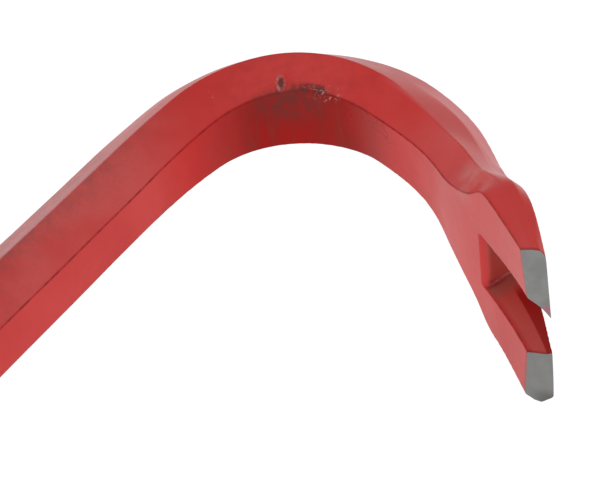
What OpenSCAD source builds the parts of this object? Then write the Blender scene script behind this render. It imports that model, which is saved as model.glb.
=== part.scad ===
// Gooseneck wrecking bar: one steel forging, hexagonal bar, nail claw at the
// gooseneck and a straight chisel at the far end.  It lies on its side: X runs
// along the shank towards the hook, Y points away from the hook's inner side
// and Z is the lateral direction, up.  The forging is drawn zone by zone, and
// the zones meet face to face.

/* [Bar] */
// Length over everything, from the chisel edge to the outside of the crown
overall_length = 600; // [400:10:900]
// Distance across the flats of the hexagonal bar
bar_flats = 19; // [17:1:22]

/* [Gooseneck] */
// Inner radius of the gentle bend where the shank leaves straight
entry_radius = 185.4; // [120:0.1:300]
// Angle turned by the gentle bend
entry_angle = 8.5; // [4:0.5:12]
// Inner radius of the tight bend at the crown
crown_radius = 25; // [22:1:30]
// Angle turned by the tight bend
crown_angle = 100; // [95:1:105]
// Inner radius of the bend in the neck behind the claw
neck_radius = 73; // [60:1:120]
// Angle turned by the neck
neck_angle = 17.5; // [12:0.5:20]

/* [Claw] */
// Length over which the claw flares out of the neck
flare_length = 28.2; // [26:0.1:36]
// Width of the claw's inner face at the shoulder
shoulder_width = 40.8; // [34:0.1:42]
// Width of the claw's inner face where the tips are ground
tip_width = 44.2; // [34:0.1:48]
// Extra width of the claw at its outer face, on each side
side_slant = 1; // [0:0.1:1.5]
// Length of the prongs, from the root of the slot to the cutting edge
prong_length = 25; // [20:1:30]
// Angle between the inner and outer faces of the claw
claw_taper = 12.5; // [12:0.5:15]
// Thickness of the claw at the cutting edge
edge_thickness = 3.8; // [2.5:0.1:4.5]
// Angle of the ground face to the inner face of the claw
grind_angle = 45; // [35:1:60]
// Depth of bare steel behind the ground face
grind_depth = 1.2; // [0.8:0.1:2]
// Radius on the outer corners of the tips
tip_corner_radius = 3; // [1:0.5:4]

/* [Nail slot] */
// Width of the slot at the claw's inner face
slot_width = 15.4; // [12:0.2:16]
// Width of the slot part of the way through
slot_mid_width = 12.8; // [11:0.2:15]
// Width of the slot at the claw's outer face
slot_outer_width = 9; // [7:0.2:10]
// Depth at which the slot's walls turn inwards
slot_step_depth = 4; // [2:0.5:5]
// Radius in the corners at the root of the slot
slot_root_radius = 1.6; // [1:0.2:4]

/* [Chisel] */
// Length of the zone where the bar is drawn down to the blade
chisel_neck_length = 42; // [30:1:60]
// Length of the painted blade
chisel_blade_length = 34; // [20:1:50]
// Length of the ground edge
chisel_edge_length = 9; // [5:1:15]
// Width of the chisel's edge
chisel_width = 30; // [24:1:36]
// Thickness of the blade where the ground edge starts
chisel_thickness = 4.5; // [3:0.5:7]
// Thickness left at the chisel's cutting edge
chisel_edge_thickness = 1.2; // [0.8:0.1:2]

/* [Hidden] */
$fn = 96;
// Sideways room that a cutting shape has past what it cuts
spare = 30;

// Half-widths of the hexagonal section at its flats and at its side corners
flat_half = bar_flats / (2 * sqrt(3));
corner_half = bar_flats / sqrt(3);

// A stretch of the bar turns from heading h to h + a, both measured clockwise
// from +X.  Its inner face is the reference line.
function travel(h) = [cos(h), -sin(h)];
function outward(h) = [sin(h), cos(h)];
function arc_centre(p, h, r) = p - r * outward(h);
function arc_end(p, h, r, a) = arc_centre(p, h, r) + r * outward(h + a);

// Where each zone of the gooseneck starts, in the frame of the first bend
entry_start = [0, 0];
crown_start = arc_end(entry_start, 0, entry_radius, entry_angle);
crown_heading = entry_angle;
neck_start = arc_end(crown_start, crown_heading, crown_radius, crown_angle);
neck_heading = crown_heading + crown_angle;
root_start = arc_end(neck_start, neck_heading, neck_radius, neck_angle);
claw_heading = neck_heading + neck_angle;
slot_root = root_start + flare_length * travel(claw_heading);
crown_centre = arc_centre(crown_start, crown_heading, crown_radius);

// The outer face runs on from the crown in one arc, then straight to the edge
outer_arc_heading = 90;
edge_heading = claw_heading + claw_taper;
edge_point = slot_root + prong_length * travel(claw_heading)
    + edge_thickness * outward(claw_heading);
line_distance = (edge_point - crown_centre) * outward(edge_heading);
outer_turn = edge_heading - outer_arc_heading;
crown_outer = crown_radius + bar_flats;
outer_radius = (line_distance - crown_outer * cos(outer_turn)) / (1 - cos(outer_turn));
outer_centre = crown_centre + (crown_outer - outer_radius) * outward(outer_arc_heading);

// Claw
shoulder_half = shoulder_width / 2;
tip_half = tip_width / 2;
flare_rise = shoulder_half - flat_half;
flare_radius = (flare_length ^ 2 + flare_rise ^ 2) / (2 * flare_rise);
root_thickness = edge_thickness + prong_length * tan(claw_taper);
grind_length = edge_thickness / tan(grind_angle);

// Chisel
chisel_length = chisel_neck_length + chisel_blade_length + chisel_edge_length;
chisel_half = chisel_width / 2;
blade_start_thickness = chisel_thickness
    + (bar_flats - chisel_thickness) * 0.3;

// The box around the bar sets its place: centred, and lying on the floor
hook_reach = crown_centre[0] + crown_outer;
shank_length = overall_length - hook_reach - chisel_length;
lowest_y = edge_point[1];
lift = max(shoulder_half, tip_half) + side_slant;
centre = [hook_reach - overall_length / 2, (bar_flats + lowest_y) / 2];

// Moves the bar from the frame of its first bend to its own frame
module place() {
    translate([-centre[0], -centre[1], lift]) children();
}

// Local frame on the inner face: X along the bar, Y outwards, Z lateral
module at(p, h) {
    translate([p[0], p[1], 0]) rotate([0, 0, -h]) children();
}

// Section of the bar: X through its thickness, Y lateral
module hex_section() {
    polygon([
        [0, -flat_half], [0, flat_half], [bar_flats / 2, corner_half],
        [bar_flats, flat_half], [bar_flats, -flat_half], [bar_flats / 2, -corner_half]
    ]);
}

// A section carried straight along local X
module straight(length) {
    rotate([90, 0, 90]) linear_extrude(length) children();
}

// A section carried round an arc that starts along local X
module arc(radius, angle) {
    translate([0, -radius, 0]) rotate([0, 0, 90 - angle])
        rotate_extrude(angle = angle, $fn = 180) translate([radius, 0]) children();
}

// Everything on the inner side of the outer face, beyond the crown
module under_outer_arc() {
    translate([outer_centre[0], outer_centre[1], 0])
        cylinder(h = 2 * spare, r = outer_radius, center = true, $fn = 180);
}

// Everything on the inner side of the straight outer face, in the claw's frame
module under_outer_line(from, to) {
    linear_extrude(2 * spare, center = true) polygon([
        [from, 0], [to, 0],
        [to, edge_thickness + (prong_length - to) * tan(claw_taper)],
        [from, edge_thickness + (prong_length - from) * tan(claw_taper)]
    ]);
}

// Outline of the flare, seen on the claw's inner face: X along, Y lateral
module flare_outline() {
    difference() {
        translate([-flare_length, -shoulder_half]) square([flare_length, shoulder_width]);
        for (side = [-1, 1])
            translate([-flare_length, side * (flat_half + flare_radius)])
                circle(r = flare_radius, $fn = 180);
    }
}

// Outline of the claw beyond the slot's root, with its outer corners rounded
module claw_outline() {
    end_half = tip_half + side_slant;
    start_half = shoulder_half + side_slant;
    square_end = prong_length - tip_corner_radius;
    polygon([
        [0, -start_half], [square_end, -end_half], [square_end, end_half], [0, start_half]
    ]);
    translate([0, -end_half + tip_corner_radius])
        square([prong_length, 2 * (end_half - tip_corner_radius)]);
    for (side = [-1, 1])
        translate([square_end, side * (end_half - tip_corner_radius)])
            circle(r = tip_corner_radius, $fn = 64);
}

// Turns an outline on the inner face into a block through the thickness
module through_thickness() {
    translate([0, bar_flats, 0]) rotate([90, 0, 0]) linear_extrude(bar_flats) children();
}

// The claw's sides lean out towards its outer face
module leaning_sides() {
    inner = shoulder_half;
    outer = inner + side_slant;
    grow = tip_half - shoulder_half;
    straight(prong_length) polygon([
        [0, -inner - grow], [0, inner + grow],
        [root_thickness, outer + grow], [root_thickness, -outer - grow]
    ]);
}

// The nail slot, narrower towards the outer face, with a rounded root
module nail_slot() {
    intersection() {
        straight(prong_length + 1) polygon([
            [-1, -slot_width / 2], [-1, slot_width / 2],
            [0, slot_width / 2], [slot_step_depth, slot_mid_width / 2],
            [root_thickness, slot_outer_width / 2], [root_thickness + 1, slot_outer_width / 2],
            [root_thickness + 1, -slot_outer_width / 2], [root_thickness, -slot_outer_width / 2],
            [slot_step_depth, -slot_mid_width / 2], [0, -slot_width / 2]
        ]);
        translate([0, -1, 0]) rotate([-90, 0, 0]) linear_extrude(root_thickness + 2) {
            for (side = [-1, 1])
                translate([slot_root_radius, side * (slot_width / 2 - slot_root_radius)])
                    circle(r = slot_root_radius, $fn = 48);
            translate([0, -slot_width / 2 + slot_root_radius])
                square([slot_root_radius, slot_width - 2 * slot_root_radius]);
            translate([slot_root_radius, -slot_width / 2])
                square([prong_length + 1, slot_width]);
        }
    }
}

// Side view of what lies behind the ground face, set back by a depth
module behind_grind(depth) {
    back = depth / sin(grind_angle);
    linear_extrude(2 * spare, center = true) polygon([
        [-1, -1], [prong_length - grind_length - back - 1 / tan(grind_angle), -1],
        [prong_length - back + 1 / tan(grind_angle), edge_thickness + 1],
        [prong_length - back + 1 / tan(grind_angle), bar_flats], [-1, bar_flats]
    ]);
}

// Both prongs, whole, with the slot between them and the tips ground
module prongs() {
    difference() {
        intersection() {
            under_outer_line(0, prong_length);
            rotate([-90, 0, 0]) linear_extrude(bar_flats) claw_outline();
            leaning_sides();
            behind_grind(0);
        }
        nail_slot();
    }
}

// Keeps one side of the claw: 1 for the upper prong, -1 for the lower one
module one_side(side) {
    intersection() {
        children();
        translate([-1, -1, side > 0 ? 0 : -spare]) cube([prong_length + 2, bar_flats, spare]);
    }
}

module hex_shank() {
    color("firebrick") place()
        translate([-shank_length, 0, 0]) straight(shank_length) hex_section();
}

module bend_entry() {
    color("firebrick") place()
        at(entry_start, 0) arc(entry_radius, entry_angle) hex_section();
}

module gooseneck_crown() {
    color("firebrick") place()
        at(crown_start, crown_heading) arc(crown_radius, crown_angle) hex_section();
}

// The bar gets thinner here, because its outer face closes on its inner one
module tapered_neck() {
    color("firebrick") place() intersection() {
        at(neck_start, neck_heading) arc(neck_radius, neck_angle) hex_section();
        under_outer_arc();
    }
}

// The claw flares out of the hexagon
module claw_root() {
    color("firebrick") place() at(slot_root, claw_heading) intersection() {
        union() {
            translate([-flare_length, 0, 0]) straight(flare_length) hex_section();
            through_thickness() flare_outline();
        }
        under_outer_line(-flare_length, 0);
    }
}

// One painted prong, up to the bare steel of its tip
module prong(side) {
    color("firebrick") place() at(slot_root, claw_heading) one_side(side) intersection() {
        prongs();
        behind_grind(grind_depth);
    }
}

// The bare steel of one tip
module ground_tip(side) {
    color("gray") place() at(slot_root, claw_heading) one_side(side) difference() {
        prongs();
        behind_grind(grind_depth);
    }
}

// Side view of the chisel, straight taper from one thickness to another
module chisel_side(from, to, start_thickness, end_thickness) {
    mid = bar_flats / 2;
    linear_extrude(2 * spare, center = true) polygon([
        [-from, mid - start_thickness / 2], [-from, mid + start_thickness / 2],
        [-to, mid + end_thickness / 2], [-to, mid - end_thickness / 2]
    ]);
}

// Outline of the chisel seen on its face, widening towards the edge
module chisel_outline() {
    polygon([
        [0, -flat_half], [0, flat_half],
        [-chisel_neck_length, corner_half], [-chisel_length, chisel_half],
        [-chisel_length, -chisel_half], [-chisel_neck_length, -corner_half]
    ]);
}

// One length of the chisel, in the frame where the shank ends and it begins
module chisel_zone(from, to, start_thickness, end_thickness) {
    place() translate([-shank_length, 0, 0]) intersection() {
        chisel_side(from, to, start_thickness, end_thickness);
        union() {
            through_thickness() chisel_outline();
            translate([-chisel_neck_length, 0, 0])
                straight(chisel_neck_length) hex_section();
        }
    }
}

module chisel_neck() {
    color("firebrick")
        chisel_zone(0, chisel_neck_length, bar_flats, blade_start_thickness);
}

module chisel_blade() {
    color("firebrick")
        chisel_zone(chisel_neck_length, chisel_neck_length + chisel_blade_length,
            blade_start_thickness, chisel_thickness);
}

module chisel_ground_edge() {
    color("gray")
        chisel_zone(chisel_neck_length + chisel_blade_length, chisel_length,
            chisel_thickness, chisel_edge_thickness);
}

module upper_prong() prong(1);
module lower_prong() prong(-1);
module upper_ground_tip() ground_tip(1);
module lower_ground_tip() ground_tip(-1);

hex_shank();
bend_entry();
gooseneck_crown();
tapered_neck();
claw_root();
upper_prong();
lower_prong();
upper_ground_tip();
lower_ground_tip();
chisel_neck();
chisel_blade();
chisel_ground_edge();
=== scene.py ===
"""Gooseneck wrecking bar: the looks of one hexagonal steel forging with a nail claw.

The bar is forged straight and then bent, as a smith does it.  Stations along the bar are in
millimetres from the place where the shank starts to bend: "along" runs towards the claw,
"through" goes from the inner face to the outer one, and "across" is lateral.
"""
from __future__ import annotations

import logging
import math
from dataclasses import dataclass, field
from enum import Enum
from typing import Iterable, Sequence

import bmesh
import bpy
import numpy as np
from mathutils import Matrix, Vector, noise

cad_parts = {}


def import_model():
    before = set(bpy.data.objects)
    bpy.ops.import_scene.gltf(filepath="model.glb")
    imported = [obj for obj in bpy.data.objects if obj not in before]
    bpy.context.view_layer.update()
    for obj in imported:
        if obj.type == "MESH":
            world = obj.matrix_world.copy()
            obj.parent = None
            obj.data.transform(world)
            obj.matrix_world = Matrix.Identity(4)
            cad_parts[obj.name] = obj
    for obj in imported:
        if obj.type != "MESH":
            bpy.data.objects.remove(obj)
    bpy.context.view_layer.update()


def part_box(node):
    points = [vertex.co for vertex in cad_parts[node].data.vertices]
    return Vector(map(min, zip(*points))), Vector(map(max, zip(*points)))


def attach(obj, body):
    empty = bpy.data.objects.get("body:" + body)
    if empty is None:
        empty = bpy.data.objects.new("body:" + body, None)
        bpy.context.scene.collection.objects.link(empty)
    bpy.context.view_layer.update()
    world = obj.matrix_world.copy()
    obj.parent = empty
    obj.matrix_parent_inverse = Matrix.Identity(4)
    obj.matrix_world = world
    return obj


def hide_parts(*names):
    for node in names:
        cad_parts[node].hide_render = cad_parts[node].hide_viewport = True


log = logging.getLogger("wrecking_bar")
MM = 0.001
Triple = tuple[float, float, float]


class Metal(Enum):
    """The two finishes that show on the bar."""

    RED = "red_paint"
    BARE = "ground_steel"


@dataclass(frozen=True)
class Run:
    """A smooth value along the bar, given at a few stations.

    Attributes:
        knots: Pairs of a station and the value there, in rising order of station.
    """

    knots: tuple[tuple[float, float], ...]

    def __call__(self, along: np.ndarray | float) -> np.ndarray | float:
        """The value at one or many stations, eased between the knots."""
        stations = np.array([k[0] for k in self.knots])
        values = np.array([k[1] for k in self.knots])
        at = np.clip(along, stations[0], stations[-1])
        left = np.clip(np.searchsorted(stations, at, side="right") - 1, 0, len(stations) - 2)
        width = stations[left + 1] - stations[left]
        share = (at - stations[left]) / width
        slopes = np.gradient(values, stations)
        slopes[0] = slopes[-1] = 0.0
        h00 = 2 * share**3 - 3 * share**2 + 1
        h10 = share**3 - 2 * share**2 + share
        h01 = -2 * share**3 + 3 * share**2
        h11 = share**3 - share**2
        return (h00 * values[left] + h10 * width * slopes[left]
                + h01 * values[left + 1] + h11 * width * slopes[left + 1])


@dataclass(frozen=True)
class Bend:
    """One arc of the bar: its length in millimetres and the angle it turns in degrees."""

    length: float
    angle: float


@dataclass
class Spine:
    """The path of the bar's inner face: straight, then round the gooseneck.

    Attributes:
        start: Place of the first bend in the row frame, in metres.
        lead: A last straight stretch before the entry.
        entry: The slow start of the gooseneck.
        crown: The tight bend at the top.
        crown_exit: Where the tight bend opens out.
        neck: The gentle bend in the neck.
        shoulder: The small counter-bend where the claw flares.
        claw: The slight curl of the prongs.
        ease: Length over which one bend runs into the next.
    """

    start: Vector
    lead: Bend = Bend(8.0, 0.0)
    entry: Bend = Bend(21.5, 8.5)
    crown: Bend = Bend(29.5, 73.0)
    crown_exit: Bend = Bend(14.5, 27.5)
    neck: Bend = Bend(29.5, 22.0)
    shoulder: Bend = Bend(14.5, -9.5)
    claw: Bend = Bend(30.0, 12.0)
    ease: float = 7.0
    step: float = 0.1
    stations: np.ndarray = field(init=False)
    heading: np.ndarray = field(init=False)
    places: np.ndarray = field(init=False)

    def __post_init__(self) -> None:
        """Integrates the bends into headings and places."""
        lead = 2 * self.ease
        bends = (self.lead, self.entry, self.crown, self.crown_exit, self.neck, self.shoulder,
                 self.claw)
        total = sum(bend.length for bend in bends)
        self.stations = np.arange(-lead, total + lead, self.step)
        turn = np.zeros_like(self.stations)
        at = 0.0
        for bend in bends:
            inside = (self.stations >= at) & (self.stations < at + bend.length)
            turn[inside] = math.radians(bend.angle) / bend.length
            at += bend.length
        window = np.hanning(int(self.ease / self.step))
        turn = np.convolve(turn, window / window.sum(), mode="same")
        self.heading = (np.cumsum(turn) - turn) * self.step
        halfway = self.heading + turn * self.step / 2
        steps = np.stack([np.cos(halfway), -np.sin(halfway)], axis=1) * self.step
        self.places = np.cumsum(steps, axis=0) - steps + np.array([self.stations[0], 0.0])

    def carry(self, points: np.ndarray) -> np.ndarray:
        """Bends points given as (along, through, across) into the row frame, in metres."""
        along, through, across = points[:, 0], points[:, 1], points[:, 2]
        first, last = self.stations[0], self.stations[-1]
        inside = np.clip(along, first, last)
        turn = np.interp(inside, self.stations, self.heading)
        x = np.interp(inside, self.stations, self.places[:, 0])
        y = np.interp(inside, self.stations, self.places[:, 1])
        over = along - inside
        x = x + over * np.cos(turn) + through * np.sin(turn)
        y = y - over * np.sin(turn) + through * np.cos(turn)
        row = np.stack([x, y, across], axis=1) * MM
        return row + np.array(self.start)


class Side(Enum):
    """The two flanks of the bar; hand forging left them a little different."""

    UPPER = 1
    LOWER = -1


@dataclass
class BarForm:
    """The sizes of the forging, in millimetres, along the straightened bar.

    Attributes:
        flats: Distance across the flats of the hexagonal bar.
        back_end: Station of the chisel's edge, behind the first bend.
        slot_root: Station of the root of the nail slot.
        tip: Station that the claw reaches before it is ground.
        crown: Station where the tight bend begins.
        neck: Station where the neck begins.
        flare: Station where the claw starts to open out.
    """

    flats: float
    back_end: float
    slot_root: float = 123.1
    tip: float = 152.0
    crown: float = 25.2
    neck: float = 68.8
    flare: float = 93.3
    slot_draft: float = 1.4
    slot_lean: float = 1.6
    slot_corner: float = 0.5
    slot_roll: float = 1.6
    chisel_neck: float = 42.0
    chisel_blade: float = 34.0
    chisel_edge: float = 9.0
    chisel_half: float = 15.0
    chisel_thickness: float = 4.5
    chisel_edge_thickness: float = 1.2
    bare_depth: float = 0.25
    twist: float = 0.016

    @property
    def corner_half(self) -> float:
        """Half the distance across the side corners."""
        return self.flats / math.sqrt(3)

    @property
    def blade_root(self) -> float:
        """Station where the chisel starts."""
        return self.back_end + self.chisel_neck + self.chisel_blade + self.chisel_edge

    def inner_half(self, side: Side) -> Run:
        """Half-width of the inner face, which spreads in the bend and in the flare."""
        straight = ((0, 5.3), (30, 6.4))
        if side is Side.UPPER:
            return Run(straight + ((54, 8.4), (76, 6.8), (95, 9.0), (110, 12.0), (118, 15.5),
                                   (125, 20.5), (127, 20.5), (133, 20.0), (self.tip, 20.5)))
        return Run(straight + ((54, 7.4), (74, 6.8), (104, 7.5), (112, 10.5), (118, 14.0),
                               (123, 18.5), (129, 20.0), (141, 22.0), (self.tip, 21.5)))

    def flank(self, side: Side) -> Run:
        """Half-width at the side corners of the hexagon."""
        straight = ((0, self.corner_half), (30, 11.5), (52, 12.8), (75, 12.0), (90, 11.5))
        if side is Side.UPPER:
            return Run(straight + ((101, 14.0), (112, 16.0), (122, 20.5), (126, 21.5),
                                   (133, 21.0), (self.tip, 21.0)))
        return Run(straight + ((101, 12.5), (112, 13.5), (122, 19.0), (130, 21.0),
                               (141, 23.5), (self.tip, 24.0)))

    def rise(self, side: Side) -> Run:
        """Half-width at the second corner, which only the neck and the flare have."""
        more = 0.0 if side is Side.UPPER else 1.0
        return Run(((0, 8.0), (52, 9.0), (69, 8.5), (90, 10.0), (104, 11.5), (116, 16.0),
                    (126, 21.5), (133, 21.3), (self.tip, 21.2 + more)))

    def outer_half(self, side: Side) -> Run:
        """Half-width of the outer face."""
        more = 0.0 if side is Side.UPPER else 0.5
        return Run(((0, 5.3), (60, 5.5), (90, 6.8), (103, 7.5), (109, 10.5), (117, 14.0),
                    (127, 19.5), (self.tip, 20.0 + more)))

    def flank_share(self, along: float) -> float:
        """Height of the side corners, as a share of the thickness."""
        return float(Run(((40, 0.5), (83, 0.4), (95, 0.4), (112, 0.5), (124, 0.5),
                          (140, 0.42)))(along))

    def thickness(self, along: np.ndarray | float) -> np.ndarray | float:
        """Thickness from the inner face to the outer one."""
        return Run(((-60, 18.2), (18, 18.0), (45, self.flats), (69, 17.5), (90, 15.5),
                    (104, 13.5), (117, 10.5), (131, 7.7), (147, 4.0), (self.tip, 3.2)))(along)

    def slot_half(self, side: Side, along: float) -> float:
        """Half-width of the nail slot at the inner face."""
        wide = {Side.UPPER: (7.6, 10.0), Side.LOWER: (7.2, 7.0)}[side]
        return float(Run(((self.slot_root, wide[0]), (self.tip, wide[1])))(along))

    def lean_height(self, side: Side, along: float) -> float:
        """Height above the inner face where the slot's walls start to lean in."""
        start, slope = (18.1, 0.11) if side is Side.UPPER else (13.52, 0.071)
        return start - slope * along

    def tip_corner(self, side: Side) -> tuple[float, float]:
        """Station where the corner of a tip starts to round off, and its radius."""
        return (146.0, 1.2) if side is Side.UPPER else (143.0, 5.0)

    def claw_share(self, along: float) -> float:
        """How far the flare has opened, from 0 at the neck to 1 at the slot's root."""
        return min(max((along - self.flare) / (self.slot_root - self.flare), 0.0), 1.0)

    def chisel_share(self, along: float) -> float:
        """How far the bar is drawn out, from 0 at the shank to 1 at the chisel's edge."""
        length = self.blade_root - self.back_end
        return min(max((self.blade_root - along) / length, 0.0), 1.0)

    def chisel_section(self, along: float, share: float, half: float) -> tuple[float, float]:
        """Half-width and thickness of the chisel.

        Args:
            along: Station on the bar.
            share: Height in the section, from 0 at the inner face to 1 at the outer one.
            half: Half-width that the plain bar has at that height.

        Returns:
            The half-width at that height, and the thickness.
        """
        edge = self.back_end + self.chisel_edge
        blade = edge + self.chisel_blade
        thick = Run(((self.back_end, self.chisel_edge_thickness), (edge, self.chisel_thickness),
                     (blade, 8.9), (self.blade_root - 4, self.flats - 0.5),
                     (self.blade_root, self.flats)))
        wide = Run(((self.back_end, self.chisel_half), (blade, self.corner_half),
                    (self.blade_root, self.corner_half)))
        square = Run(((self.back_end, 1.0), (blade, 0.92), (self.blade_root, 0.0)))
        full = float(wide(along))
        mixed = float(square(along))
        return half + (full - half - 0.4 * (abs(share - 0.5) > 0.4)) * mixed, float(thick(along))


@dataclass
class Blank:
    """The straight, unmarked solid of part of the bar, as one fine skin.

    Attributes:
        form: Sizes of the forging.
        first: Station where this part begins.
        last: Station where it ends.
        grain: Size of the skin's squares.
        soften: How many times the edges are eased.
        spare: Length past each end, which is cut off with the zones.
    """

    form: BarForm
    first: float
    last: float
    grain: float
    soften: int = 2
    spare: float = 3.0

    def skin(self) -> bmesh.types.BMesh:
        """Makes the skin: the drawn-out hexagon, with the slot cut through its claw."""
        bar = self._object("bar", self._hexagon())
        helpers = []
        if self.last > self.form.slot_root:
            helpers.append(self._object("slot", self._slot_block()))
        for helper in helpers:
            cut = bar.modifiers.new("slot", "BOOLEAN")
            cut.operation, cut.solver, cut.object = "DIFFERENCE", "EXACT", helper
        sharp = bpy.data.objects.new("sharp", self._evaluated(bar))
        bpy.context.scene.collection.objects.link(sharp)
        helpers.append(sharp)
        grain = bar.modifiers.new("grain", "REMESH")
        grain.mode, grain.voxel_size = "VOXEL", self.grain
        settle = bar.modifiers.new("settle", "SHRINKWRAP")
        settle.target, settle.wrap_method = sharp, "NEAREST_SURFACEPOINT"
        ease = bar.modifiers.new("ease", "SMOOTH")
        ease.factor, ease.iterations = 0.5, self.soften
        mesh = self._evaluated(bar)
        skin = bmesh.new()
        skin.from_mesh(mesh)
        bpy.data.meshes.remove(mesh)
        for made in [bar] + helpers:
            shape = made.data
            bpy.data.objects.remove(made)
            bpy.data.meshes.remove(shape)
        return skin

    @staticmethod
    def _evaluated(made: bpy.types.Object) -> bpy.types.Mesh:
        """The object's mesh with its modifiers applied."""
        bpy.context.view_layer.update()
        graph = bpy.context.evaluated_depsgraph_get()
        return bpy.data.meshes.new_from_object(made.evaluated_get(graph))

    def _object(self, name: str, shape: bmesh.types.BMesh) -> bpy.types.Object:
        """Puts a shape into the scene for as long as the modifiers need it."""
        mesh = bpy.data.meshes.new(name)
        shape.to_mesh(mesh)
        shape.free()
        made = bpy.data.objects.new(name, mesh)
        bpy.context.scene.collection.objects.link(made)
        return made

    @staticmethod
    def _slice(shape: bmesh.types.BMesh, axis: int, cuts: Iterable[float]) -> None:
        """Adds a ring of edges where each plane across an axis meets the shape."""
        across = Vector([1.0 if i == axis else 0.0 for i in range(3)])
        for cut in cuts:
            everything = shape.verts[:] + shape.edges[:] + shape.faces[:]
            bmesh.ops.bisect_plane(shape, geom=everything, plane_co=across * cut,
                                   plane_no=across, dist=1e-4)

    def _stations(self, first: float, last: float) -> list[float]:
        """Stations for the rings: close together wherever the section changes."""
        form = self.form
        changing = ((form.back_end, form.blade_root + 4, 3.0), (-60.0, 40.0, 2.5),
                    (40.8, form.tip, 0.8))
        stations = []
        for low, high, step in changing:
            count = int((high - low) / step)
            stations += [low + (high - low) * i / count for i in range(count + 1)]
        return [s for s in stations if first + 0.1 < s < last - 0.1]

    def _hexagon(self) -> bmesh.types.BMesh:
        """The hexagonal bar, drawn out to the claw at one end and the chisel at the other."""
        form = self.form
        first = max(self.first - self.spare, form.back_end)
        last = min(self.last + self.spare, form.tip)
        shape = bmesh.new()
        bmesh.ops.create_cone(shape, cap_ends=True, segments=6, radius1=1.0, radius2=1.0,
                              depth=last - first)
        lay = Matrix(((0, 0, 1, (first + last) / 2), (1, 0, 0, 0), (0, 1, 0, 0), (0, 0, 0, 1)))
        bmesh.ops.transform(shape, matrix=lay, verts=shape.verts)
        self._slice(shape, 0, self._stations(first, last))
        self._slice(shape, 2, (0.0,))
        low, high = (pick(v.co.y for v in shape.verts) for pick in (min, max))
        self._slice(shape, 1, (low + 0.75 * (high - low),))
        rows = {side: {0.0: form.inner_half(side), 0.5: form.flank(side),
                       0.75: form.rise(side), 1.0: form.outer_half(side)} for side in Side}
        for vert in shape.verts:
            share = round((vert.co.y - low) / (high - low), 2)
            side = Side.UPPER if vert.co.z >= 0 else Side.LOWER
            vert.co = self._place(vert.co, share, side, rows[side][share])
        bmesh.ops.recalc_face_normals(shape, faces=shape.faces)
        return shape

    def _place(self, at: Vector, share: float, side: Side, row: Run) -> Vector:
        """Where a corner of the plain hexagon goes on the forged bar."""
        form = self.form
        along = at.x
        thick, half = float(form.thickness(along)), float(row(along))
        if form.chisel_share(along) > 0:
            half, thick = form.chisel_section(along, share, half)
            return Vector((along, form.flats / 2 + (share - 0.5) * thick,
                           math.copysign(half, at.z) if abs(at.z) > 1e-3 else 0.0))
        begin, radius = form.tip_corner(side)
        over = min(max(along - begin, 0.0), radius)
        half -= radius - math.sqrt(radius**2 - over**2)
        width = math.copysign(half, at.z) if abs(at.z) > 1e-3 else 0.0
        height = thick * (form.flank_share(along) if share == 0.5 else share)
        height -= form.twist * width * form.claw_share(along) * share
        return Vector((along, height, width))

    def _slot_block(self) -> bmesh.types.BMesh:
        """What the nail slot takes away, narrower towards the claw's outer face."""
        form = self.form
        last = form.tip + 6
        block_half = 7.4
        shape = bmesh.new()
        bmesh.ops.create_cube(shape, size=1.0)
        fit = Matrix.Translation(((form.slot_root + last) / 2, 0.5, 0)) @ Matrix.Diagonal(
            (last - form.slot_root, 2.0, 2 * block_half, 1))
        bmesh.ops.transform(shape, matrix=fit, verts=shape.verts)
        root = [e for e in shape.edges
                if all(v.co.x < form.slot_root + 1 for v in e.verts)
                and abs(e.verts[0].co.y - e.verts[1].co.y) > 1]
        bmesh.ops.bevel(shape, geom=root, offset=form.slot_corner, affect="EDGES",
                        segments=5, profile=0.5, material=-1)
        self._slice(shape, 0, [form.slot_root + 3 * i for i in range(1, 12)])
        self._slice(shape, 1, (0.0, 0.06, 0.12, 0.2, 0.5, 1.0))
        for vert in shape.verts:
            along, share, width = vert.co
            side = Side.UPPER if width > 0 else Side.LOWER
            knee = min(form.lean_height(side, along) / float(form.thickness(along)), 0.95)
            share = knee if abs(share - 0.5) < 0.01 else share
            lean = max(share - knee, 0.0) / (1 - knee)
            steeper = form.slot_lean * (1.4 if side is Side.UPPER else 0.75)
            narrower = form.slot_draft * min(max(share, 0.0) / knee, 1.0) + steeper * lean
            half = abs(width) / block_half * (form.slot_half(side, along) - narrower)
            at_root = max(1 - (along - form.slot_root) / 3, 0.0)
            roll = form.slot_roll * at_root * max(1 - max(share, 0.0) / 0.2, 0.0) ** 2
            height = share * float(form.thickness(along))
            vert.co = Vector((along - roll, height, math.copysign(half, width)))
        bmesh.ops.recalc_face_normals(shape, faces=shape.faces)
        return shape


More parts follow.
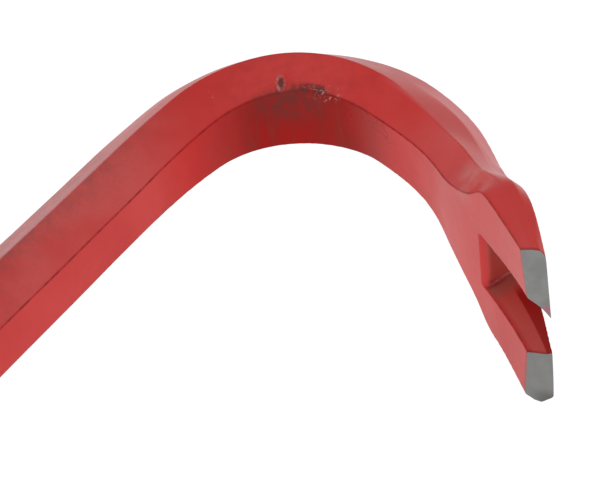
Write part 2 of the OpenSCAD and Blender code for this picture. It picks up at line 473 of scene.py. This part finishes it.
@dataclass
class ForgeMarks:
    """What the hammer and the press leave on the skin: waves, wrinkles, a torn crest and a pit.

    Attributes:
        form: Sizes of the forging.
        wave: Height of the long, shallow waves on every face.
    """

    form: BarForm
    wave: float = 0.08
    fine: float = 0.010
    crest: float = 0.35
    pit_at: Triple = (50.0, 2.6, 10.0)

    def press_into(self, skin: bmesh.types.BMesh) -> None:
        """Moves each point of the skin along its normal by the marks there."""
        skin.normal_update()
        moves = [(vert, vert.normal * self._height(vert.co)) for vert in skin.verts]
        for vert, move in moves:
            vert.co += move

    def _height(self, at: Vector) -> float:
        """Height of the marks at one point of the straight bar."""
        form = self.form
        rise = self.wave * (noise.noise(at * 0.07) - 0.3)
        if -70 < at.x < form.tip:
            rise += self.fine * noise.noise(at * 0.6)
        if 25 < at.x < 95:
            rise += self._torn_crest(at)
        return rise

    def _torn_crest(self, at: Vector) -> float:
        """The inner edge of the tight bend is squeezed into folds and small tears."""
        side = Side.UPPER if at.z > 0 else Side.LOWER
        edge = abs(at.z) - float(self.form.inner_half(side)(at.x))
        near = math.exp(-((edge / 1.6) ** 2) - (max(at.y - 0.4, 0.0) / 2.2) ** 2)
        tight = math.exp(-(((at.x - 55) / 9) ** 2)) * (1.0 if at.z > 0 else 0.15)
        ragged = noise.fractal(at * 0.55, 0.9, 2.2, 4)
        rise = self.crest * tight * near * (ragged + 0.15)
        pit = (at - Vector(self.pit_at)) * Vector((0.9, 0.7, 0.7)).length / 1.2
        rise -= 0.6 * math.exp(-pit.length_squared / 1.4)
        return rise


@dataclass
class Zone:
    """One stretch of the bar that is shown as a piece of its own.

    Attributes:
        name: Name of the piece.
        first: Station where it begins.
        last: Station where it ends.
        nodes: The CAD nodes that it stands for.
        side: 1 for the upper side only, -1 for the lower one, 0 for both.
    """

    name: str
    first: float
    last: float
    nodes: tuple[str, ...]
    metal: Metal = Metal.RED
    side: int = 0


@dataclass
class Ground:
    """The two ground faces at the tips, as planes of the straight bar.

    Attributes:
        reach: Station where each face leaves the inner face, at the slot's edge.
        edge: Where across the bar that is.
        skew: How much deeper the outer side of the tip is ground.
    """

    reach: dict[Side, float] = field(
        default_factory=lambda: {Side.UPPER: 145.4, Side.LOWER: 143.8})
    edge: dict[Side, float] = field(
        default_factory=lambda: {Side.UPPER: 9.8, Side.LOWER: -7.1})
    skew: dict[Side, float] = field(
        default_factory=lambda: {Side.UPPER: 0.236, Side.LOWER: -0.167})

    def at(self, side: Side) -> Vector:
        """A point on the face."""
        return Vector((self.reach[side], 0.0, self.edge[side]))

    def outward(self, side: Side) -> Vector:
        """The direction in which the wheel took the steel away."""
        return Vector((1.0, -1.0, self.skew[side])).normalized()


@dataclass
class Forging:
    """The whole bar: forged straight, marked, ground, bent and parted into pieces."""

    form: BarForm
    spine: Spine
    finishes: tuple[bpy.types.Material, bpy.types.Material]
    part_line: float = -80.0

    def build(self, zones: Sequence[Zone]) -> dict[str, bpy.types.Object]:
        """Makes a piece for each zone.

        Args:
            zones: The stretches of the bar, from end to end.

        Returns:
            The pieces by name.
        """
        blanks = (Blank(self.form, self.form.back_end, self.part_line, grain=0.6),
                  Blank(self.form, self.part_line, self.form.tip, grain=0.33))
        pieces = {}
        for blank in blanks:
            skin = blank.skin()
            ForgeMarks(self.form).press_into(skin)
            self._keep_bent_normals(skin)
            for zone in zones:
                if blank.first - 1 < zone.first and zone.last < blank.last + 1:
                    pieces[zone.name] = self._piece(skin, zone)
            skin.free()
        return pieces

    def _keep_bent_normals(self, skin: bmesh.types.BMesh) -> None:
        """Stores on each point the normal that it has once the bar is bent."""
        bent = skin.copy()
        points = np.array([v.co for v in bent.verts])
        for vert, place in zip(bent.verts, self.spine.carry(points)):
            vert.co = place
        bent.normal_update()
        layer = skin.verts.layers.float_vector.new("bent_normal")
        for vert, twin in zip(skin.verts, bent.verts):
            vert[layer] = twin.normal
        bent.free()

    def _cut(self, shape: bmesh.types.BMesh, at: Vector, outward: Vector, mark: int) -> None:
        """Takes away what lies beyond a plane, and closes the cut with marked faces."""
        everything = shape.verts[:] + shape.edges[:] + shape.faces[:]
        bmesh.ops.bisect_plane(shape, geom=everything, plane_co=at, plane_no=outward,
                               clear_outer=True, dist=1e-5)
        rim = [e for e in shape.edges if e.is_boundary]
        if not rim:
            return
        made = bmesh.ops.holes_fill(shape, edges=rim, sides=0)
        flat = bmesh.ops.triangulate(shape, faces=made["faces"])
        for face in flat["faces"]:
            face.material_index = mark
            if face.normal.dot(outward) < 0:
                face.normal_flip()

    def _piece(self, skin: bmesh.types.BMesh, zone: Zone) -> bpy.types.Object:
        """Cuts one zone out of the skin, bends it and makes it an object."""
        shape = skin.copy()
        ahead = Vector((1, 0, 0))
        if zone.first > self.form.back_end + 1:
            self._cut(shape, ahead * zone.first, -ahead, 1)
        if zone.last < self.form.tip - 1:
            self._cut(shape, ahead * zone.last, ahead, 1)
        if zone.side:
            self._cut(shape, Vector((0, 0, 0)), Vector((0, 0, -zone.side)), 1)
        if zone.first >= self.form.slot_root - 1:
            self._grind(shape, zone)
        return self._object(shape, zone)

    def _grind(self, shape: bmesh.types.BMesh, zone: Zone) -> None:
        """Grinds a tip, or leaves the painted prong just short of the bare steel."""
        ground, side = Ground(), Side(zone.side)
        at, outward = ground.at(side), ground.outward(side)
        if zone.metal is Metal.BARE:
            self._cut(shape, at, outward, 2)
            self._cut(shape, at - outward * self.form.bare_depth, -outward, 1)
        else:
            self._cut(shape, at - outward * self.form.bare_depth, outward, 1)

    def _object(self, shape: bmesh.types.BMesh, zone: Zone) -> bpy.types.Object:
        """Bends a cut shape into place, with its places, normals and finishes on it."""
        finishes = self.finishes
        shape.verts.ensure_lookup_table()
        layer = shape.verts.layers.float_vector["bent_normal"]
        straight = np.array([v.co for v in shape.verts])
        normals = np.array([v[layer] for v in shape.verts])
        for vert, place in zip(shape.verts, self.spine.carry(straight)):
            vert.co = place
        shape.normal_update()
        mesh = bpy.data.meshes.new(zone.name)
        shape.to_mesh(mesh)
        shape.free()
        for finish in finishes:
            mesh.materials.append(finish)
        place = mesh.attributes.new("forged_place", "FLOAT_VECTOR", "POINT")
        place.data.foreach_set("vector", straight.astype(np.float32).ravel())
        gap = mesh.attributes.new("edge_gap", "FLOAT", "POINT")
        edges = [self.form.inner_half(side)(straight[:, 0]) for side in Side]
        width = np.abs(straight[:, 2]) - np.where(straight[:, 2] > 0, *edges)
        gap.data.foreach_set("value", width.astype(np.float32))
        marks = np.zeros(len(mesh.polygons), np.int32)
        mesh.polygons.foreach_get("material_index", marks)
        loops = np.zeros(len(mesh.loops), np.int32)
        mesh.loops.foreach_get("vertex_index", loops)
        totals = np.zeros(len(mesh.polygons), np.int32)
        mesh.polygons.foreach_get("loop_total", totals)
        flat = np.array([p.normal for p in mesh.polygons])
        per_loop = np.where(np.repeat(marks > 0, totals)[:, None],
                            np.repeat(flat, totals, axis=0), normals[loops])
        per_loop /= np.linalg.norm(per_loop, axis=1, keepdims=True) + 1e-12
        mesh.polygons.foreach_set("use_smooth", np.ones(len(mesh.polygons), bool))
        mesh.normals_split_custom_set(per_loop.tolist())
        bare = marks == 2
        if zone.metal is Metal.BARE and not zone.side:
            bare = marks != 1
        ground = bare.astype(np.int32)
        mesh.polygons.foreach_set("material_index", ground)
        made = bpy.data.objects.new(zone.name, mesh)
        bpy.context.scene.collection.objects.link(made)
        log.info("%s: %d faces", zone.name, len(mesh.polygons))
        return made


class Signal:
    """A socket of a shader's node tree that Python's own operators work on."""

    def __init__(self, tree: "Shader", socket: bpy.types.NodeSocket) -> None:
        """Wraps one output socket."""
        self.tree, self.socket = tree, socket

    def _math(self, operation: str, *values: "Signal | float") -> "Signal":
        """Adds a Math node."""
        return self.tree.node("ShaderNodeMath", {"operation": operation}, list(values))

    def __add__(self, other: "Signal | float") -> "Signal":
        """Sum."""
        return self._math("ADD", self, other)

    def __sub__(self, other: "Signal | float") -> "Signal":
        """Difference."""
        return self._math("SUBTRACT", self, other)

    def __rsub__(self, other: float) -> "Signal":
        """Difference from a number."""
        return self._math("SUBTRACT", other, self)

    def __mul__(self, other: "Signal | float") -> "Signal":
        """Product."""
        return self._math("MULTIPLY", self, other)

    def __pow__(self, other: float) -> "Signal":
        """Power."""
        return self._math("POWER", self, other)

    __radd__ = __add__
    __rmul__ = __mul__

    def size(self) -> "Signal":
        """The value without its sign."""
        return self._math("ABSOLUTE", self)

    def at_most(self, other: "Signal | float") -> "Signal":
        """The smaller of two values."""
        return self._math("MINIMUM", self, other)

    def at_least(self, other: "Signal | float") -> "Signal":
        """The larger of two values."""
        return self._math("MAXIMUM", self, other)

    def ease(self, low: float, high: float) -> "Signal":
        """Smoothly 0 to 1 as the value goes from low to high."""
        return self.tree.node("ShaderNodeMapRange", {"interpolation_type": "SMOOTHSTEP"},
                              [self, low, high, 0.0, 1.0])

    def fade(self, low: float, high: float) -> "Signal":
        """Smoothly 1 to 0 as the value goes from low to high."""
        return 1.0 - self.ease(low, high)


class Shader:
    """A material's node tree."""

    def __init__(self, name: str) -> None:
        """Starts an empty material."""
        self.material = bpy.data.materials.new(name)
        self.material.use_nodes = True
        self.nodes = self.material.node_tree.nodes
        self.links = self.material.node_tree.links
        self.nodes.clear()

    def node(self, kind: str, settings: dict, values: Sequence | dict,
             output: int | str = 0) -> Signal:
        """Adds any node.

        Args:
            kind: The node's type.
            settings: The node's own settings, set first.
            values: Values or signals for its inputs, in order or by name.
            output: Which output to give back.

        Returns:
            The output as a signal.
        """
        made = self.nodes.new(kind)
        for key, value in settings.items():
            setattr(made, key, value)
        pairs = values.items() if isinstance(values, dict) else enumerate(values)
        for key, value in pairs:
            socket = made.inputs[key]
            if isinstance(value, Signal):
                self.links.new(value.socket, socket)
            elif value is not None:
                socket.default_value = value
        return Signal(self, made.outputs[output])

    def place(self) -> Signal:
        """The point's place on the straight bar, in millimetres."""
        return self.node("ShaderNodeAttribute", {"attribute_name": "forged_place"}, [], "Vector")

    def noise(self, at: Signal, size: float, detail: float = 2.0, rough: float = 0.5,
              offset: float = 0.0) -> Signal:
        """Noise from 0 to 1 whose lumps measure about size millimetres."""
        return self.node("ShaderNodeTexNoise", {"noise_dimensions": "4D"},
                         {"Vector": at, "W": offset, "Scale": 1.0 / size, "Detail": detail,
                          "Roughness": rough}, "Fac")

    def mix(self, share: Signal | float, low: tuple | Signal, high: tuple | Signal) -> Signal:
        """Mixes two colours."""
        low, high = (c if isinstance(c, Signal) else (*c, 1.0) for c in (low, high))
        return self.node("ShaderNodeMix", {"data_type": "RGBA"},
                         {0: share, 6: low, 7: high}, 2)

    def finish(self, sockets: dict, bump: Signal | None = None, lift: float = 1.0) -> None:
        """Ends the tree in a Principled shader.

        Args:
            sockets: Values or signals for the shader's sockets.
            bump: Height of the surface, in millimetres.
            lift: Strength of the bump.
        """
        if bump is not None:
            sockets = dict(sockets)
            sockets["Normal"] = self.node("ShaderNodeBump", {},
                                          {"Strength": lift, "Distance": MM, "Height": bump})
        shader = self.node("ShaderNodeBsdfPrincipled", {}, sockets)
        last = self.nodes.new("ShaderNodeOutputMaterial")
        self.links.new(shader.socket, last.inputs["Surface"])


@dataclass(frozen=True)
class Mark:
    """A soft-edged spot on the straight bar.

    Attributes:
        centre: Its middle, as (along, through, across) in millimetres.
        reach: How far it goes from the middle in each direction.
    """

    centre: Triple
    reach: Triple

    def on(self, shader: Shader, at: Signal, soft: float = 0.5) -> Signal:
        """1 inside the mark and 0 outside it, with an edge of the given softness."""
        away = shader.node("ShaderNodeVectorMath", {"operation": "SUBTRACT"}, [at, self.centre])
        scaled = shader.node("ShaderNodeVectorMath", {"operation": "DIVIDE"}, [away, self.reach])
        far = shader.node("ShaderNodeVectorMath", {"operation": "LENGTH"}, [scaled], "Value")
        return far.fade(1.0 - soft, 1.0 + soft)


class Coat:
    """The paint's colour so far, and what its patterns are made from at each point.

    The place on the straight bar is at, or along, through and across.  The gap is how far that
    is outside the inner face's edge.  Cloud, mottle and speck are patches, from large to small.
    Inner is 1 on the inner face, and upper is 1 on the upper half.
    """

    def __init__(self, paint: Shader, low: tuple, high: tuple) -> None:
        """Starts the colour as clouds of two tints."""
        self.paint, self.at = paint, paint.place()
        apart = paint.node("ShaderNodeSeparateXYZ", {}, [self.at]).socket.node.outputs
        self.along, self.through, self.across = (Signal(paint, apart[axis]) for axis in "XYZ")
        self.gap = paint.node("ShaderNodeAttribute", {"attribute_name": "edge_gap"}, [], "Fac")
        self.cloud = paint.noise(self.at, 18.0, 3.0, 0.55)
        self.mottle = paint.noise(self.at, 2.6, 4.0, 0.65, 3.0)
        self.speck = paint.noise(self.at, 0.8, 3.0, 0.65, 7.0)
        self.inner = self.through.fade(0.5, 1.3) * self.gap.fade(-0.1, 0.3)
        self.upper = self.across.ease(0.0, 3.0)
        self.colour = paint.mix(self.cloud.ease(0.35, 0.65), low, high)

    def add(self, share: Signal, tint: tuple) -> None:
        """Mixes a tint into the colour."""
        self.colour = self.paint.mix(share, self.colour, tint)

    def mark(self, centre: tuple, reach: tuple, soft: float) -> Signal:
        """1 inside a soft-edged spot and 0 outside it."""
        return Mark(centre, reach).on(self.paint, self.at, soft)

    def by_side(self, values: dict[Side, float]) -> Signal:
        """The value of the side that the point is on."""
        low, high = values[Side.LOWER], values[Side.UPPER]
        return low + self.across.ease(-0.5, 0.5) * (high - low)


@dataclass(frozen=True)
class RedPaint:
    """Dipped red paint over scale and forge marks."""

    form: BarForm
    red: Triple = (0.50, 0.016, 0.013)
    pale: Triple = (0.54, 0.026, 0.022)
    # Deep red: painted shade under the crown, in the slot and on the lower prong, and patches
    # round the crown.
    deep: Triple = (0.25, 0.007, 0.005)
    # Dark lines: painted shade along edges, in corners and in folds, and the line at the ground
    # faces.
    line: Triple = (0.21, 0.006, 0.009)
    grime: Triple = (0.095, 0.036, 0.032)
    # Brown primer in brush marks and in the slot, where it is also painted shade towards the root.
    primer: Triple = (0.24, 0.060, 0.045)
    # Chalky chips and nicks, and a painted highlight on the shoulder.
    chalk_and_highlight: Triple = (0.50, 0.30, 0.28)
    # Dust on the shank's sides, and painted light on the upper facets of the neck and claw.
    dust_and_light: Triple = (0.53, 0.070, 0.064)
    # Painted sheen: pale reflection on the upper faces of the neck and of the shank near the bend.
    painted_sheen: Triple = (0.72, 0.32, 0.33)
    slot_spread: float = 0.083

    def material(self) -> bpy.types.Material:
        """Makes the material."""
        paint = Shader(Metal.RED.value)
        coat = Coat(paint, self.red, self.pale)
        shank = self._shank(coat)
        arch = self._arch(coat)
        matt = self._neck_and_claw(coat)
        leaning = self._slot(coat)
        self._edge_lines(coat)
        self._ground_line(coat)
        scuff = self._scuffs(coat)
        grain = paint.noise(coat.at, 1.1, 2.0, 0.5, 11.0)
        grit = shank * coat.speck.ease(0.45, 0.7)
        height = grain * 0.007 + coat.mottle * 0.02 + grit * 0.03 - scuff * 0.15 * coat.speck
        dull = arch.at_least(scuff).at_least(leaning).at_least(matt).at_most(1.0)
        paint.finish({"Base Color": coat.colour,
                      "Roughness": 0.32 + coat.mottle * 0.10 + scuff * 0.35 + shank * 0.1,
                      "Specular IOR Level": 0.34 - dull * 0.28}, height, 0.9)
        return paint.material

    def _shank(self, coat: Coat) -> Signal:
        """Dusty sides, darker towards the outer face and away from the bend; gives back where they
        are.
        """
        side = (1.0 - coat.inner) * coat.along.fade(0.0, 40.0)
        coat.add(side * (0.45 + 0.4 * coat.cloud.ease(0.35, 0.62)), self.dust_and_light)
        # Darker towards the outer face and away from the bend, with specks.
        darkening = coat.through.ease(2.0, 10.5) * 0.30 + coat.along.fade(-74.0, -26.0) * 0.40
        darkening = darkening * (0.55 + 0.9 * coat.mottle.ease(0.35, 0.65))
        darkening = darkening + coat.speck.ease(0.52, 0.74) * 0.16
        coat.add(side * darkening, self.grime)
        return side

    def _arch(self, coat: Coat) -> Signal:
        """Painted shade in deep red under the crown, with brush marks, and patchy deeper red on
        the other faces round the crown; gives back where the painted shade is.
        """
        along = coat.along
        arch = coat.inner * along.ease(20.0, 44.0) * along.fade(62.0, 86.0)
        side = (1.0 - coat.inner) * along.ease(26.0, 42.0) * along.fade(62.0, 82.0)
        coat.add(side * (0.06 + 0.24 * coat.mottle.ease(0.35, 0.7)), self.deep)
        drawn = coat.paint.node("ShaderNodeMapping", {},
                                {"Vector": coat.at, "Scale": (1.0, 1.0, 0.12)})
        brushed = coat.paint.noise(drawn, 1.6, 3.0, 0.6, 17.0)
        shade = 0.60 + 0.25 * coat.cloud.ease(0.3, 0.7) + 0.2 * brushed.ease(0.3, 0.7)
        # Painted shade under the crown.
        coat.add((arch * shade).at_most(1.0), self.deep)
        coat.add(arch * brushed.ease(0.40, 0.70) * 0.22, self.primer)
        return arch

    def _neck_and_claw(self, coat: Coat) -> Signal:
        """Painted light and shade: paler facets and a painted sheen on the upper side, and painted
        shade on the lower prong's inner face; gives back how matt the faces are.
        """
        along, through = coat.along, coat.through
        prong = coat.inner * along.ease(118.0, 132.0) * coat.across.fade(-7.0, -5.0)
        # Painted shade: the lower prong's inner face goes a little deeper red.
        coat.add(prong * 0.18, self.deep)
        neck = coat.upper * along.ease(68.0, 80.0) * along.fade(106.0, 114.0)
        facet = neck * through.ease(6.0, 7.0) * through.fade(11.0, 12.6)
        # Painted light: the upper neck facet is made paler.
        coat.add(facet * 0.75, self.dust_and_light)
        band = coat.upper * through.ease(9.4, 10.4) * along.fade(10.0, 44.0)
        # Painted sheen on the upper neck facet, on the shank's top band near the bend and on the
        # neck's outer faces.
        coat.add(facet * 0.10 + band * 0.30, self.painted_sheen)
        coat.add(neck * through.ease(11.0, 12.6) * 0.30, self.painted_sheen)
        # Painted light: the upper side of the claw is made paler.
        coat.add(coat.upper * along.ease(119.0, 123.0) * (1.0 - coat.inner) * 0.25, self.dust_and_light)
        tucked = coat.inner * (0.25 + 0.5 * along.ease(6.0, 22.0) * along.fade(98.0, 112.0))
        return tucked.at_least(prong * 0.8).at_least(facet * 0.6)

    def _slot(self, coat: Coat) -> Signal:
        """Brownish thin paint in the nail slot, with painted shade towards its root, in its root
        corner and on the wall's leaning facet; gives back where that wall leans in.
        """
        along, through, start = coat.along, coat.through, self.form.slot_root
        inside = along.ease(start - 0.6, start + 0.4) * coat.gap.fade(-9.5, -8.5)
        inside = inside * through.ease(0.2, 0.7)
        over = through - self.form.lean_height(Side.LOWER, along)
        leaning = inside * over.ease(-0.2, 0.2) * along.ease(126.0, 130.0)
        coat.add(inside * (0.30 + coat.mottle * 0.2), self.primer)
        # Painted shade: darker towards the slot's root.
        coat.add(inside * along.fade(125.0, 129.0) * 0.7, self.primer)
        # Painted shade: a dark line in the corner at the slot's root.
        root_corner_shade = coat.mark((123.4, 4.4, -6.5), (0.8, 5.5, 1.0), 0.5)
        coat.add(root_corner_shade * coat.mottle.ease(0.38, 0.55) * 0.8, self.line)
        # Painted shade on the wall's leaning facet.
        coat.add(leaning * 0.9, self.deep)
        return leaning

    def _edge_lines(self, coat: Coat) -> None:
        """Painted shade: dark lines along the inner face's edges and the slot's."""
        along, through, root = coat.along, coat.through, self.form.slot_root
        patchy = coat.mottle.ease(0.40, 0.60)
        rim = (coat.gap * coat.gap + through * through) ** 0.5
        crease = rim.fade(0.0, 0.48) * (0.35 + 0.65 * patchy)
        coat.add(crease * along.fade(140.0, 146.0), self.line)
        spread = (along - root) * self.slot_spread * coat.across.ease(-0.5, 0.5)
        wall = coat.by_side({side: self.form.slot_half(side, root) for side in Side}) + spread
        inward = coat.across.size() - wall
        brink = ((inward * inward + through * through) ** 0.5).fade(0.1, 0.6)
        coat.add(brink * along.ease(root + 0.5, 125.0) * (0.2 + 0.5 * patchy), self.line)

    def _ground_line(self, coat: Coat) -> None:
        """A dark line where the paint meets the ground faces."""
        ground = Ground()
        limit = coat.by_side({side: ground.reach[side] + ground.skew[side] * ground.edge[side]
                              for side in Side})
        short = coat.along - coat.through + coat.across * coat.by_side(ground.skew) - limit
        coat.add(short.ease(-1.1, -0.5) * 0.65, self.line)

    def _scuffs(self, coat: Coat) -> Signal:
        """The scuffed crest, its pit and chips, with painted shade in the folds and a painted
        highlight on the shoulder; gives back where the scuffs, pit and chips are.
        """
        mottle, speck = coat.mottle, coat.speck
        ragged = mottle * 0.6 + speck * 0.4
        patch = coat.mark((50.5, 0.2, 5.6), (8.5, 1.8, 5.4), 0.6)
        patch = patch * (0.25 + 0.75 * ragged.ease(0.38, 0.60)) * 0.8
        crest = coat.mark((56.0, 0.6, 8.6), (4.0, 1.4, 1.1), 0.4)
        scuff = patch.at_least(crest * ragged.ease(0.42, 0.50))
        coat.add(scuff * 0.85, self.grime)
        chips = coat.mark((59.0, 0.6, 7.6), (3.8, 2.0, 1.8), 0.4) * speck.ease(0.55, 0.62)
        coat.add(chips * 0.7, self.chalk_and_highlight)
        rim = coat.mark((48.8, 2.4, 8.9), (1.0, 2.4, 1.5), 0.3)
        coat.add(rim * speck.ease(0.40, 0.60) * 0.5, self.chalk_and_highlight)
        pit = coat.mark((48.9, 2.6, 9.0), (0.62, 2.0, 1.1), 0.35)
        coat.add(pit * 0.9, self.grime)
        wrinkles = coat.paint.noise(coat.at, 3.2, 1.0, 0.5, 21.0) - 0.5
        # Painted shade: dark lines in the folds of the inner face.
        folds = coat.mark((72.0, 0.0, 3.8), (9.0, 2.0, 3.4), 0.3) * coat.inner
        coat.add(folds * wrinkles.size().fade(0.006, 0.030) * 0.5, self.line)
        # Painted highlight: a pale patch on the shoulder.
        shoulder = coat.mark((114.5, 5.0, 14.0), (5.5, 5.5, 3.4), 0.7)
        coat.add(shoulder * mottle.ease(0.30, 0.65) * 0.30, self.chalk_and_highlight)
        nicks = coat.mark((34.0, 6.5, 8.0), (1.6, 3.0, 3.0), 0.4)
        coat.add(nicks * speck.ease(0.60, 0.66) * 0.5, self.chalk_and_highlight)
        return scuff.at_least(pit).at_least(chips)


@dataclass(frozen=True)
class GroundSteel:
    """Bare steel straight off the grinding wheel."""

    steel: Triple = (0.255, 0.258, 0.250)
    dark: Triple = (0.165, 0.165, 0.160)
    burnt: Triple = (0.030, 0.028, 0.026)
    smudge: Triple = (0.42, 0.10, 0.17)

    def material(self) -> bpy.types.Material:
        """Makes the material."""
        bare = Shader(Metal.BARE.value)
        at = bare.place()
        stretch = bare.node("ShaderNodeMapping", {}, {"Vector": at, "Scale": (0.35, 0.35, 3.5)})
        lines = bare.noise(stretch, 0.6, 4.0, 0.7)
        cloud = bare.noise(at, 3.5, 3.0, 0.6, 5.0)
        grain = bare.noise(at, 0.5, 3.0, 0.7, 9.0)
        blotch = lines * 0.45 + cloud.ease(0.35, 0.65) * 0.35 + grain * 0.2
        across = bare.node("ShaderNodeSeparateXYZ", {}, [at], "Z")
        colour = bare.mix(blotch * (0.6 + across.ease(-6.0, 6.0) * 0.5), self.dark, self.steel)
        corner = Mark((146.0, 3.6, -22.4), (3.4, 3.4, 3.4)).on(bare, at, 0.6)
        colour = bare.mix(corner * (0.30 + cloud * 0.8), colour, self.burnt)
        colour = bare.mix(across.fade(-22.0, -12.0) * 0.22, colour, self.dark)
        pink = Mark((148.6, 3.4, 8.2), (1.0, 1.0, 1.1)).on(bare, at, 0.4)
        colour = bare.mix(pink * grain.ease(0.35, 0.55) * 0.8, colour, self.smudge)
        bare.finish({"Base Color": colour, "Metallic": 0.35, "Roughness": 0.45 + lines * 0.15,
                     "Specular IOR Level": 0.3}, lines * 0.015 + grain * 0.01, 0.8)
        return bare.material


@dataclass(frozen=True)
class Studio:
    """A white table under soft light, and the camera."""

    aim: Vector
    azimuth: float = 50.06
    elevation: float = 41.72
    roll: float = 9.96
    distance: float = 0.3424
    lens: float = 95.92

    def build(self) -> None:
        """Makes the table, the lights and the camera."""
        self._table()
        self._world()
        self._light("soft_front", Vector((-0.40, -0.95, 0.45)), 0.9, 3.8)
        self._light("soft_left", Vector((-0.9, 0.5, 0.45)), 0.8, 3.6)
        self._light("soft_top", Vector((0.0, 0.15, 1.0)), 0.7, 1.0)
        self._light("soft_back", Vector((0.3, 1.0, 0.35)), 0.8, 1.2)
        self._light("soft_right", Vector((0.95, -0.45, 0.55)), 0.8, 2.2)
        self._camera()

    def _table(self) -> None:
        """A plain white floor."""
        floor = bmesh.new()
        bmesh.ops.create_grid(floor, x_segments=1, y_segments=1, size=4.0)
        mesh = bpy.data.meshes.new("table")
        floor.to_mesh(mesh)
        floor.free()
        table = bpy.data.objects.new("table", mesh)
        bpy.context.scene.collection.objects.link(table)
        white = Shader("table_white")
        white.finish({"Base Color": (0.1, 0.1, 0.1, 1.0), "Roughness": 0.9,
                      "Specular IOR Level": 0.0, "Emission Color": (1.0, 1.0, 1.0, 1.0),
                      "Emission Strength": 0.97})
        mesh.materials.append(white.material)

    def _world(self) -> None:
        """Even white surroundings, which the paint mirrors at grazing angles."""
        world = bpy.data.worlds.new("white_tent")
        bpy.context.scene.world = world
        world.use_nodes = True
        background = world.node_tree.nodes["Background"]
        background.inputs["Color"].default_value = (1.0, 1.0, 1.0, 1.0)
        background.inputs["Strength"].default_value = 0.5

    def _light(self, name: str, place: Vector, size: float, power: float) -> None:
        """A square soft light that faces what the camera looks at."""
        lamp = bpy.data.lights.new(name, "AREA")
        lamp.shape, lamp.size, lamp.energy = "SQUARE", size, power
        made = bpy.data.objects.new(name, lamp)
        made.location = self.aim + place
        made.rotation_euler = place.to_track_quat("Z", "Y").to_euler()
        bpy.context.scene.collection.objects.link(made)

    def _camera(self) -> None:
        """The camera stands on the hook's open side and looks down into it."""
        turn, tilt = math.radians(self.azimuth), math.radians(self.elevation)
        away = Vector((math.sin(turn), math.cos(turn), 0.0))
        up = Vector((0.0, 0.0, 1.0))
        ahead = away * math.cos(tilt) - up * math.sin(tilt)
        right = Vector((math.cos(turn), -math.sin(turn), 0.0))
        above = up * math.cos(tilt) + away * math.sin(tilt)
        frame = Matrix((right, above, -ahead)).transposed()
        frame = frame @ Matrix.Rotation(-math.radians(self.roll), 3, "Z")
        data = bpy.data.cameras.new("camera")
        data.lens, data.sensor_width = self.lens, 36.0
        data.clip_start, data.clip_end = 0.01, 20.0
        camera = bpy.data.objects.new("camera", data)
        camera.matrix_world = Matrix.Translation(self.aim - ahead * self.distance) @ frame.to_4x4()
        bpy.context.scene.collection.objects.link(camera)
        bpy.context.scene.camera = camera


def zones(form: BarForm) -> list[Zone]:
    """The pieces that the bar is shown in, from the chisel's edge to the claw's tips."""
    shank = (form.blade_root, -300.0, -190.0, -80.0, 0.0)
    root, tips = form.slot_root, form.slot_root + 14
    edge = form.back_end + form.chisel_edge
    blade = edge + form.chisel_blade
    return [
        Zone("chisel_edge_steel", form.back_end, edge, ("chisel_ground_edge",), Metal.BARE),
        Zone("chisel_blade_paint", edge, blade, ("chisel_blade",)),
        Zone("chisel_neck_paint", blade, form.blade_root, ("chisel_neck",)),
        Zone("shank_rear_paint", shank[0], shank[1], ("hex_shank",)),
        Zone("shank_middle_paint", shank[1], shank[2], ("hex_shank",)),
        Zone("shank_grip_paint", shank[2], shank[3], ("hex_shank",)),
        Zone("shank_front_paint", shank[3], shank[4], ("hex_shank",)),
        Zone("bend_entry_paint", 0.0, form.crown, ("bend_entry",)),
        Zone("crown_paint", form.crown, form.neck, ("gooseneck_crown",)),
        Zone("neck_paint", form.neck, form.flare, ("tapered_neck",)),
        Zone("claw_root_paint", form.flare, root, ("claw_root",)),
        Zone("upper_prong_paint", root, form.tip, ("upper_prong",), Metal.RED, 1),
        Zone("lower_prong_paint", root, form.tip, ("lower_prong",), Metal.RED, -1),
        Zone("upper_tip_steel", tips, form.tip, ("upper_ground_tip",), Metal.BARE, 1),
        Zone("lower_tip_steel", tips, form.tip, ("lower_ground_tip",), Metal.BARE, -1),
    ]


def main() -> None:
    """Builds the bar and its studio."""
    logging.basicConfig(level=logging.INFO, format="%(message)s")
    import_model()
    low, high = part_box("hex_shank")
    start = Vector((high.x, low.y, (low.z + high.z) / 2))
    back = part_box("chisel_ground_edge")[0].x
    form = BarForm(flats=(high.y - low.y) / MM, back_end=(back - start.x) / MM)
    stretches = zones(form)
    finishes = (RedPaint(form).material(), GroundSteel().material())
    pieces = Forging(form, Spine(start), finishes).build(stretches)
    for zone in stretches:
        piece = pieces[zone.name]
        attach(piece, "root")
        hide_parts(*zone.nodes)
    aim = start + Vector((8.63, -39.62, 0.0)) * MM
    Studio(aim).build()
    bpy.context.scene.view_settings.view_transform = "Standard"


if __name__ == "__main__":
    main()
